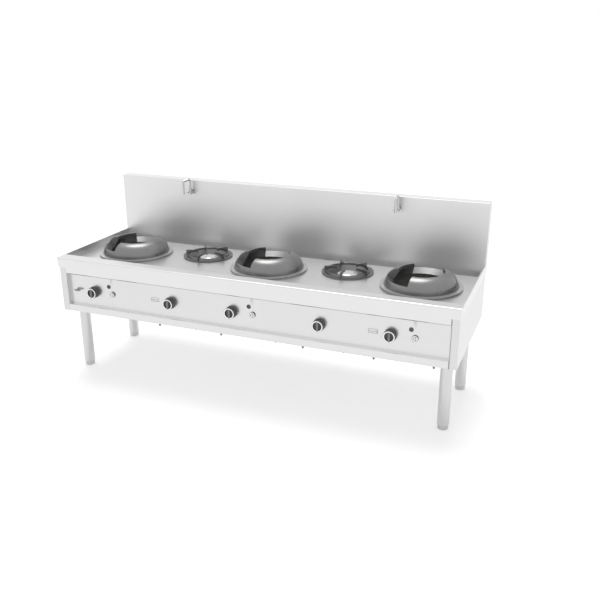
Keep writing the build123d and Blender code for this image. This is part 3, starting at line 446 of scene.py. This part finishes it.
# ---- Shapes made here ----------------------------------------------------------------
def placed(point, towards="up"):
    """Where a shape's own origin and Z axis go."""
    lean = {"up": 0.0, "down": pi, "front": pi / 2, "back": -pi / 2}[towards]
    return Matrix.Translation(point) @ Matrix.Rotation(lean, 4, "X")


def eased(corners, radius, parts=3):
    """Round the corners between a profile's two ends; its points are (radius, height, finish)."""
    points = [corners[0]]
    for before, corner, after in zip(corners, corners[1:], corners[2:]):
        here = Vector(corner[:2])
        back, on = Vector(before[:2]) - here, Vector(after[:2]) - here
        cut = min(radius, back.length * 0.45, on.length * 0.45)
        start, end = here + back.normalized() * cut, here + on.normalized() * cut
        for step in range(parts + 1):
            t = step / parts
            point = start.lerp(here, t).lerp(here.lerp(end, t), t)
            points.append((point.x, point.y, corner[2]))
    points.append(corners[-1])
    return points


def skin(shape, loops, bands):
    """Join loops of points one after another; bands gives each band's finish.

    A loop of one point closes an end.
    """
    rings = [[shape.verts.new(point) for point in loop] for loop in loops]
    steps = max(len(ring) for ring in rings)
    for below, above, finish in zip(rings, rings[1:], bands):
        for i in range(steps):
            j = (i + 1) % steps
            corners = [ring[k % len(ring)] for ring, k in ((below, i), (below, j), (above, j), (above, i))]
            face = shape.faces.new(dict.fromkeys(corners))
            face.material_index = finish
            face.smooth = True
    return rings


def turned(shape, profile, place, steps=72):
    """Turn a profile of (radius, height, finish) points round the place's Z axis."""
    loops = []
    for radius, height, _ in profile:
        turns = [tau * i / steps for i in range(steps if radius else 1)]
        loops.append([place @ Vector((radius * cos(turn), radius * sin(turn), height)) for turn in turns])
    skin(shape, loops, [finish for _, _, finish in profile[1:]])


def slot_loop(place, length, width, height, shift, steps=16):
    """A long round-ended loop in the place's XY plane, its length along Y."""
    reach = (length - width) / 2
    radius = width / 2
    points = []
    for end, start in ((1, 0.0), (-1, pi)):
        for i in range(steps + 1):
            angle = start + pi * i / steps
            spot = Vector((radius * cos(angle), radius * sin(angle) + end * reach + shift, height))
            points.append(place @ spot)
    return points


def dressed(name, like, materials, mesh):
    """Make an object of a mesh with the given materials; it rides with the solid that it is like."""
    for material in materials:
        mesh.materials.append(material)
    made = bpy.data.objects.new(name, mesh)
    scene.collection.objects.link(made)
    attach(made, nodes[like]["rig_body"])
    return made


def piece(name, like, materials, shape, sharp=35):
    """Make an object of a bmesh, with edges sharp above an angle in degrees."""
    bmesh.ops.recalc_face_normals(shape, faces=shape.faces)
    mesh = bpy.data.meshes.new(name)
    shape.to_mesh(mesh)
    shape.free()
    mesh.set_sharp_from_angle(angle=radians(sharp))
    return dressed(name, like, materials, mesh)


def islands(name):
    """Lowest and highest corner of each separate solid of a node."""
    shape = bmesh.new()
    shape.from_mesh(nodes[name].data)
    bmesh.ops.remove_doubles(shape, verts=shape.verts, dist=1e-6)
    boxes = []
    left = set(shape.verts)
    while left:
        near = [left.pop()]
        spots = []
        while near:
            here = near.pop()
            spots.append(here.co.copy())
            joined = {edge.other_vert(here) for edge in here.link_edges} & left
            left -= joined
            near.extend(joined)
        boxes.append([Vector(pick(spot[i] for spot in spots) for i in range(3)) for pick in (min, max)])
    shape.free()
    return sorted(boxes, key=lambda box: tuple(box[0]))


# ---- Knobs: skirt, grooved body, bright ring, face and grip --------------------------
def knob(name):
    """One knob; heights run outwards from the panel, and radii from the knob's axis."""
    low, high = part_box(name)
    centre = ((low.x + high.x) / 2, high.y, (low.z + high.z) / 2)
    spindle = 0.004
    grip_height, grip_length, grip_width, grip_shift = 0.011, 0.061, 0.0155, -0.0022
    face = high.y - low.y - grip_height
    back = face - 0.0305
    skirt = (high.x - low.x) / 2
    side = skirt - 0.002
    groove = side - 0.0014
    groove_slope = 0.0006
    ring = side - 0.0004
    body, bright, dark, grip = range(4)
    profile = [
        (0, 0, body),
        (spindle, 0, body),
        (spindle, back, body),
        (skirt, back, body),
        (skirt, back + 0.0065, body),
        (side, back + 0.0085, body),
    ]
    for start, end in ((0.014, 0.0176), (0.0235, 0.0268)):
        profile += [
            (side, back + start, body),
            (groove, back + start + groove_slope, body),
            (groove, back + end - groove_slope, body),
            (side, back + end, body),
        ]
    profile += [
        (side, face - 0.0012, body),
        (side - 0.0012, face, body),
        (ring, face + 0.0002, body),
        (ring, face + 0.008, body),
        (ring - 0.0008, face + 0.0088, body),
        (ring - 0.0013, face + 0.0088, body),
        (ring - 0.0016, face + 0.009, bright),
        (ring - 0.0080, face + 0.0088, bright),
        (ring - 0.0088, face + 0.0078, bright),
        (ring - 0.0090, face - 0.0004, dark),
        (0, face - 0.0004, dark),
    ]
    shape = bmesh.new()
    place = placed(centre, "front")
    turned(shape, eased(profile, 0.0006, 2), place)

    # The grip's side rises straight and rounds over at its top: (inset, height over the face).
    levels = ((0.0, -0.0006), (0.0, 0.0082), (0.0004, 0.0096), (0.0013, 0.0106), (0.003, grip_height))
    loops = [
        slot_loop(place, grip_length - 2 * inset, grip_width - 2 * inset, face + height, grip_shift)
        for inset, height in levels
    ]
    rings = skin(shape, loops, [grip] * len(loops))
    for end in (rings[-1], rings[0][::-1]):
        shape.faces.new(end).material_index = grip
    made = piece(f"{name}_turned", name, (black_plastic, bright_trim, face_plastic, grip_plastic), shape)
    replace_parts(made, name)


for number in range(1, 6):
    knob(f"knob_{number}")


# ---- Mica windows of the sight tubes -------------------------------------------------
def sight_windows(name):
    """A pane of mica a little way inside the end of each tube."""
    radius, thickness, inside = 0.0128, 0.0008, 0.006
    pane = [(0, 0, 0), (radius, 0, 0), (radius, thickness, 0), (0, thickness, 0)]
    shape = bmesh.new()
    for low, high in islands(name):
        spot = ((low.x + high.x) / 2, low.y + inside, (low.z + high.z) / 2)
        turned(shape, pane, placed(spot, "front"), 32)
    piece("sight_windows", name, (mica,), shape)


sight_windows("sight_tubes")


# ---- Painted shade in the pits of the igniter buttons --------------------------------
def button_pits(name):
    """A near-black plug with a hollow face in each of the button's pits, painted shade for the pit; heights
    are over its front.
    """
    radius, depth, rim = 0.0023, 0.00145, 0.0001
    hollow = [
        (0, -depth, 0),
        (radius, -depth, 0),
        (radius, -rim, 0),
        (0.0019, -rim, 0),
        (0.0012, -0.0008, 0),
        (0, -0.001, 0),
    ]
    low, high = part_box(name)
    shape = bmesh.new()
    for turn in pit_turns:
        spot = Vector(((low.x + high.x) / 2, low.y, (low.z + high.z) / 2))
        spot += pit_pitch * Vector((cos(radians(turn)), 0, sin(radians(turn))))
        turned(shape, hollow, placed(spot, "front"), 16)
    piece(f"{name}_pits", name, (hole_shade_black,), shape)


for number in range(1, 4):
    button_pits(f"igniter_button_{number}")


# ---- Marks on the panel: the range in plan, the burner of the next knob filled in ----
def burner_mark(number, aside):
    """Five small circles in a frame, to the left of a knob, its own burner's circle filled."""
    wide, tall, line = 0.029, 0.013, 0.0012  # half of the frame's sides and of its line
    radius, hole, pitch, drop = 0.0042, 0.0026, 0.011, 0.002
    thickness = 0.00015
    x, z = knobs[number].x - aside, knobs[number].z + 0.009
    shape = bmesh.new()

    def bar(x0, x1, z0, z1):
        """A strip of paint, a hair into the panel and a hair out of it."""
        corners = ((x0, z0), (x1, z0), (x1, z1), (x0, z1))
        depths = (panel_face + 0.00005, panel_face - thickness)
        rings = skin(shape, [[(x, y, z) for x, z in corners] for y in depths], [0])
        shape.faces.new(rings[-1])

    for end in (-1, 1):
        upright, level = x + end * wide, z + end * tall
        bar(upright - line, upright + line, z - tall, z + tall)
        bar(x - wide, x + wide, level - line, level + line)
    for burner in range(1, 6):
        rim = [(radius, thickness, 0), (radius, 0, 0)]
        inner = [(0, thickness, 0)] if burner == number else [(hole, 0, 0), (hole, thickness, 0)]
        spot = (x + (burner - 3) * pitch, panel_face, z - drop)
        turned(shape, inner + rim, placed(spot, "front"), 20)
    piece(f"burner_mark_{number}", "control_panel", (mark_paint,), shape)


burner_mark(2, 0.116)
burner_mark(5, 0.109)


# ---- Geometry Nodes: jets, ports, screws and nuts ------------------------------------
class Grown:
    """A Geometry Nodes tree that repeats a part; its sizes are named inputs."""

    def __init__(self, name, **sizes):
        self.name = name
        self.tree = bpy.data.node_groups.new(name, "GeometryNodeTree")
        face = self.tree.interface
        face.new_socket("Geometry", in_out="INPUT", socket_type="NodeSocketGeometry")
        face.new_socket("Geometry", in_out="OUTPUT", socket_type="NodeSocketGeometry")
        kinds = {int: "NodeSocketInt", float: "NodeSocketFloat"}
        self.keys = {}
        for size, value in sizes.items():
            socket = face.new_socket(size, in_out="INPUT", socket_type=kinds[type(value)])
            socket.default_value = value
            self.keys[size] = socket.identifier
        self.entry = self.tree.nodes.new("NodeGroupInput")
        self.points = self.entry.outputs[0]
        self.result = self.tree.nodes.new("NodeGroupOutput")

    def node(self, kind, settings=None, inputs=None):
        return add_node(self.tree, kind, settings, inputs)

    def size(self, name):
        return self.entry.outputs[name]

    def share(self, name, part):
        """A size times a number."""
        made = self.node("ShaderNodeMath", {"operation": "MULTIPLY"}, {0: self.size(name), 1: part})
        return made.outputs[0]

    def total(self, first, second):
        return self.node("ShaderNodeMath", {"operation": "ADD"}, {0: first, 1: second}).outputs[0]

    def vector(self, x=0.0, y=0.0, z=0.0):
        return self.node("ShaderNodeCombineXYZ", {}, {0: x, 1: y, 2: z}).outputs[0]

    def vector_math(self, operation, first, second=(0, 0, 0)):
        return self.node("ShaderNodeVectorMath", {"operation": operation}, {0: first, 1: second}).outputs[0]

    def part(self, solid, material, offset=(0, 0, 0), turn=(0, 0, 0)):
        """A primitive of its own finish, set off and turned."""
        inputs = {"Geometry": solid, "Translation": offset, "Rotation": turn}
        moved = self.node("GeometryNodeTransform", {}, inputs)
        inputs = {"Geometry": moved.outputs[0], "Material": material}
        return self.node("GeometryNodeSetMaterial", {}, inputs).outputs[0]

    def joined(self, *parts):
        return self.node("GeometryNodeJoinGeometry", {}, {0: list(parts)}).outputs[0]

    def round_bar(self, sides, bottom, top, height):
        inputs = {"Vertices": sides, "Radius Bottom": bottom, "Radius Top": top, "Depth": height}
        return self.node("GeometryNodeMeshCone", {}, inputs).outputs["Mesh"]

    def circle(self, count, radius):
        """Points of a level circle."""
        return self.node("GeometryNodeMeshCircle", {}, {"Vertices": count, "Radius": radius}).outputs[0]

    def repeated(self, points, part, outward=None):
        """The part on each point; with a vector, its Z axis leans along it and away from the middle."""
        inputs = {"Points": points, "Instance": part}
        if outward:
            spot = self.node("GeometryNodeInputPosition").outputs[0]
            away = self.vector_math("NORMALIZE", self.vector_math("MULTIPLY", spot, (1, 1, 0)))
            lean = self.vector_math("ADD", away, outward)
            aligned = self.node("FunctionNodeAlignRotationToVector", {"axis": "Z"}, {"Vector": lean})
            inputs["Rotation"] = aligned.outputs[0]
        made = self.node("GeometryNodeInstanceOnPoints", {}, inputs)
        return self.node("GeometryNodeRealizeInstances", {}, {0: made.outputs[0]}).outputs[0]

    def ends_with(self, geometry):
        self.tree.links.new(geometry, self.result.inputs[0])

    def mesh(self, points=(), **sizes):
        """Plain mesh of the tree, grown on the given points, with the given sizes."""
        base = bpy.data.meshes.new(self.name)
        base.from_pydata([tuple(point) for point in points], [], [])
        holder = bpy.data.objects.new(self.name, base)
        scene.collection.objects.link(holder)
        modifier = holder.modifiers.new("grown", "NODES")
        modifier.node_group = self.tree
        for size, value in sizes.items():
            modifier[self.keys[size]] = value
        ready = holder.evaluated_get(bpy.context.evaluated_depsgraph_get())
        mesh = bpy.data.meshes.new_from_object(ready)
        holder.modifiers.clear()
        bpy.data.objects.remove(holder)
        return mesh


def nozzle_tree():
    """Ring of jets: a cone with a near-black disc in its tip, painted shade for its bore."""
    tree = Grown("nozzles", count=18, radius=0.06, width=0.009, height=0.006, bore_proud=0.0002)
    foot, tip, bore = (tree.share("width", part) for part in (0.5, 0.34, 0.17))
    bore_height = tree.total(tree.size("height"), tree.size("bore_proud"))
    cone = tree.part(tree.round_bar(12, foot, tip, tree.size("height")), valve_brass)
    hole = tree.part(tree.round_bar(8, bore, bore, bore_height), hole_shade_black)
    ring = tree.circle(tree.size("count"), tree.size("radius"))
    upwards = (0, 0, 1.2)  # against 1 outwards, so that the jets lean out
    tree.ends_with(tree.repeated(ring, tree.joined(cone, hole), upwards))
    return tree


def port_tree():
    """Ring of flame ports in an upright rim: near-black discs, painted shade for the bores, each with a fine
    lip.
    """
    tree = Grown("ports", count=36, radius=0.068, width=0.004, lip=0.0008, depth=0.001, sunk=0.0004)
    lip, bore = (tree.share("width", part) for part in (0.62, 0.45))
    inwards = tree.vector(z=tree.share("sunk", -1.0))
    rim = tree.part(tree.round_bar(10, lip, lip, tree.size("lip")), dish_steel, inwards)
    hole = tree.part(tree.round_bar(10, bore, bore, tree.size("depth")), hole_shade_black, inwards)
    ring = tree.circle(tree.size("count"), tree.size("radius"))
    upwards = (0, 0, 0.0001)  # next to nothing, so that the ports point straight out
    tree.ends_with(tree.repeated(ring, tree.joined(rim, hole), upwards))
    return tree


def screw_tree():
    """Cross-recess pan heads, seen from +Z of each point."""
    tree = Grown(
        "screws",
        head=0.0045,
        height=0.0024,
        slot=0.0044,
        slot_width=0.0009,
        slot_depth=0.0012,
        slot_middle=0.0019,
    )
    head, top = tree.size("head"), tree.share("head", 0.66)
    straight, crown = (tree.share("height", part) for part in (0.55, 0.45))
    slot = tree.vector(tree.size("slot"), tree.size("slot_width"), tree.size("slot_depth"))
    bar = tree.node("GeometryNodeMeshCube", {}, {"Size": slot}).outputs["Mesh"]
    parts = [
        tree.part(tree.round_bar(24, head, head, straight), zinc_steel),
        tree.part(tree.round_bar(24, head, top, crown), zinc_steel, tree.vector(z=straight)),
    ]
    # The cross recess is two near-black bars: painted shade, not a cut.
    raised = tree.vector(z=tree.size("slot_middle"))
    parts += [tree.part(bar, hole_shade_black, raised, (0, 0, turn)) for turn in (0.0, pi / 2)]
    tree.ends_with(tree.repeated(tree.points, tree.joined(*parts)))
    return tree


def nut_tree():
    """Washer, long chamfered hexagon nut and threaded end."""
    tree = Grown(
        "nuts",
        across=0.008,
        nut_top=0.0066,
        washer=0.0092,
        washer_height=0.0012,
        flats=0.0168,
        chamfer=0.0012,
        thread=0.004,
        thread_root=0.0035,
        pitch=0.001,
    )
    washer, across, flats, chamfer, pitch = map(tree.size, ("washer", "across", "flats", "chamfer", "pitch"))
    end = tree.total(flats, chamfer)
    parts = [
        tree.part(tree.round_bar(28, washer, washer, tree.size("washer_height")), bolt_steel),
        tree.part(tree.round_bar(6, across, across, flats), bolt_steel),
        tree.part(tree.round_bar(6, across, tree.size("nut_top"), chamfer), bolt_steel, tree.vector(z=flats)),
    ]
    for turn in range(4):
        thread = tree.round_bar(20, tree.size("thread"), tree.size("thread_root"), pitch)
        height = tree.total(end, tree.share("pitch", turn))
        parts.append(tree.part(thread, bolt_steel, tree.vector(z=height)))
    tree.ends_with(tree.repeated(tree.points, tree.joined(*parts)))
    return tree


def grown_piece(name, like, mesh, place):
    """Put a grown mesh in its place."""
    mesh.transform(place)
    mesh.set_sharp_from_angle(angle=radians(35))
    return dressed(name, like, (), mesh)


nozzles, ports, screws, nuts = nozzle_tree(), port_tree(), screw_tree(), nut_tree()
jet_rings = (("outer", 24, 0.0762, 0.008, 0.0037), ("inner", 14, 0.05, 0.009, 0.0))
for number in range(1, 4):
    head_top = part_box(f"wok_burner_{number}")[1].z
    middle = middle_of(f"wok_ring_{number}")
    for ring_name, count, radius, width, drop in jet_rings:
        grown_piece(
            f"wok_jets_{ring_name}_{number}",
            f"wok_burner_{number}",
            nozzles.mesh(count=count, radius=radius, width=width),
            placed((middle.x, middle.y, head_top - drop)),
        )

port_drop = 0.020  # ports below the top of the small burner's cap
for number in range(1, 3):
    low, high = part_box(f"small_burner_{number}")
    middle = middle_of(f"trivet_{number}")
    grown_piece(
        f"small_ports_{number}",
        f"small_burner_{number}",
        ports.mesh(count=44, radius=(high.x - low.x) / 2, width=0.0046),
        placed((middle.x, middle.y, high.z - port_drop)),
    )

screw_head = 0.0024
back = placed((0, 0, 0), "back")
points = []
for low, high in islands("panel_screws"):
    middle = (low + high) / 2
    points.append(back.inverted() @ Vector((middle.x, high.y - screw_head, middle.z)))
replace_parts(grown_piece("back_screws", "panel_screws", screws.mesh(points), back), "panel_screws")

bolt_end = 0.022  # end of each bolt below the sheet that it holds
down = placed((0, 0, 0), "down")
points = []
for low, high in islands("underside_bolts"):
    middle = (low + high) / 2
    points.append(down.inverted() @ Vector((middle.x, middle.y, low.z + bolt_end)))
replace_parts(grown_piece("front_nuts", "underside_bolts", nuts.mesh(points), down), "underside_bolts")


# ---- Floor, light and camera ---------------------------------------------------------
def shown_rays(tree):
    """1 for rays from the camera, a reflection or through glass, 0 for the rest."""
    rays = add_node(tree, "ShaderNodeLightPath").outputs
    total = rays["Is Camera Ray"]
    for name in ("Is Glossy Ray", "Is Transmission Ray"):
        either = add_node(tree, "ShaderNodeMath", {"operation": "MAXIMUM"}, {0: total, 1: rays[name]})
        total = either.outputs[0]
    return total


def white_world(level):
    """White where it is seen, and a plain grey level as light."""
    world = bpy.data.worlds.new("studio")
    scene.world = world
    world.use_nodes = True
    tree = world.node_tree
    background = tree.nodes["Background"]
    background.inputs["Strength"].default_value = 1.0
    shades = {0: shown_rays(tree), 6: opaque(grey(level)), 7: opaque(grey(1.0))}
    mixed = add_node(tree, "ShaderNodeMix", {"data_type": "RGBA"}, shades)
    tree.links.new(mixed.outputs[2], background.inputs["Color"])


def pale_floor(size, glow):
    """Floor that keeps the shadow, and is white away from it."""
    mesh = bpy.data.meshes.new("floor")
    floor = bpy.data.objects.new("floor", mesh)
    scene.collection.objects.link(floor)
    half = size / 2
    corners = [(-half, -half, 0), (half, -half, 0), (half, half, 0), (-half, half, 0)]
    mesh.from_pydata(corners, [], [(0, 1, 2, 3)])
    material = bpy.data.materials.new("floor")
    material.use_nodes = True
    tree = material.node_tree
    shader = tree.nodes["Principled BSDF"]
    shader.inputs["Base Color"].default_value = opaque(grey(0.86))
    shader.inputs["Roughness"].default_value = 0.9
    shader.inputs["Specular IOR Level"].default_value = 0.0
    shader.inputs["Emission Color"].default_value = opaque(grey(1.0))
    strength = add_node(tree, "ShaderNodeMath", {"operation": "MULTIPLY"}, {0: shown_rays(tree), 1: glow})
    tree.links.new(strength.outputs[0], shader.inputs["Emission Strength"])
    mesh.materials.append(material)


def lamp(name, source, spread, strength):
    """Even light from one side, as soft as the angle that it spreads over."""
    data = bpy.data.lights.new(name, "SUN")
    data.angle = spread
    data.energy = strength
    light = bpy.data.objects.new(name, data)
    scene.collection.objects.link(light)
    light.rotation_euler = Vector(source).to_track_quat("Z", "Y").to_euler()


def camera(place, yaw, pitch, roll, focal_pixels, picture_pixels=600):
    """Camera at a place, turned to the left, downwards and about its axis, in radians."""
    data = bpy.data.cameras.new("camera")
    data.sensor_width = 36.0
    data.lens = focal_pixels / picture_pixels * data.sensor_width
    data.clip_end = 1000.0
    data.dof.use_dof = False
    view = bpy.data.objects.new("camera", data)
    scene.collection.objects.link(view)
    ahead = Vector((sin(yaw) * cos(pitch), cos(yaw) * cos(pitch), -sin(pitch)))
    level = ahead.cross(Vector((0, 0, 1))).normalized()
    above = level.cross(ahead)
    right, up = level * cos(roll) + above * sin(roll), above * cos(roll) - level * sin(roll)
    axes = Matrix((right, up, -ahead)).transposed().to_4x4()
    view.matrix_world = Matrix.Translation(place) @ axes
    scene.camera = view


white_world(level=0.52)
pale_floor(size=400.0, glow=0.45)
lamp("soft_key", source=(-0.27, 0.45, 1.5), spread=radians(30), strength=1.1)
camera((2.0173, -4.5279, 2.3689), yaw=-0.3762, pitch=0.3499, roll=-0.0013, focal_pixels=756.1)
scene.view_settings.view_transform = "Standard"
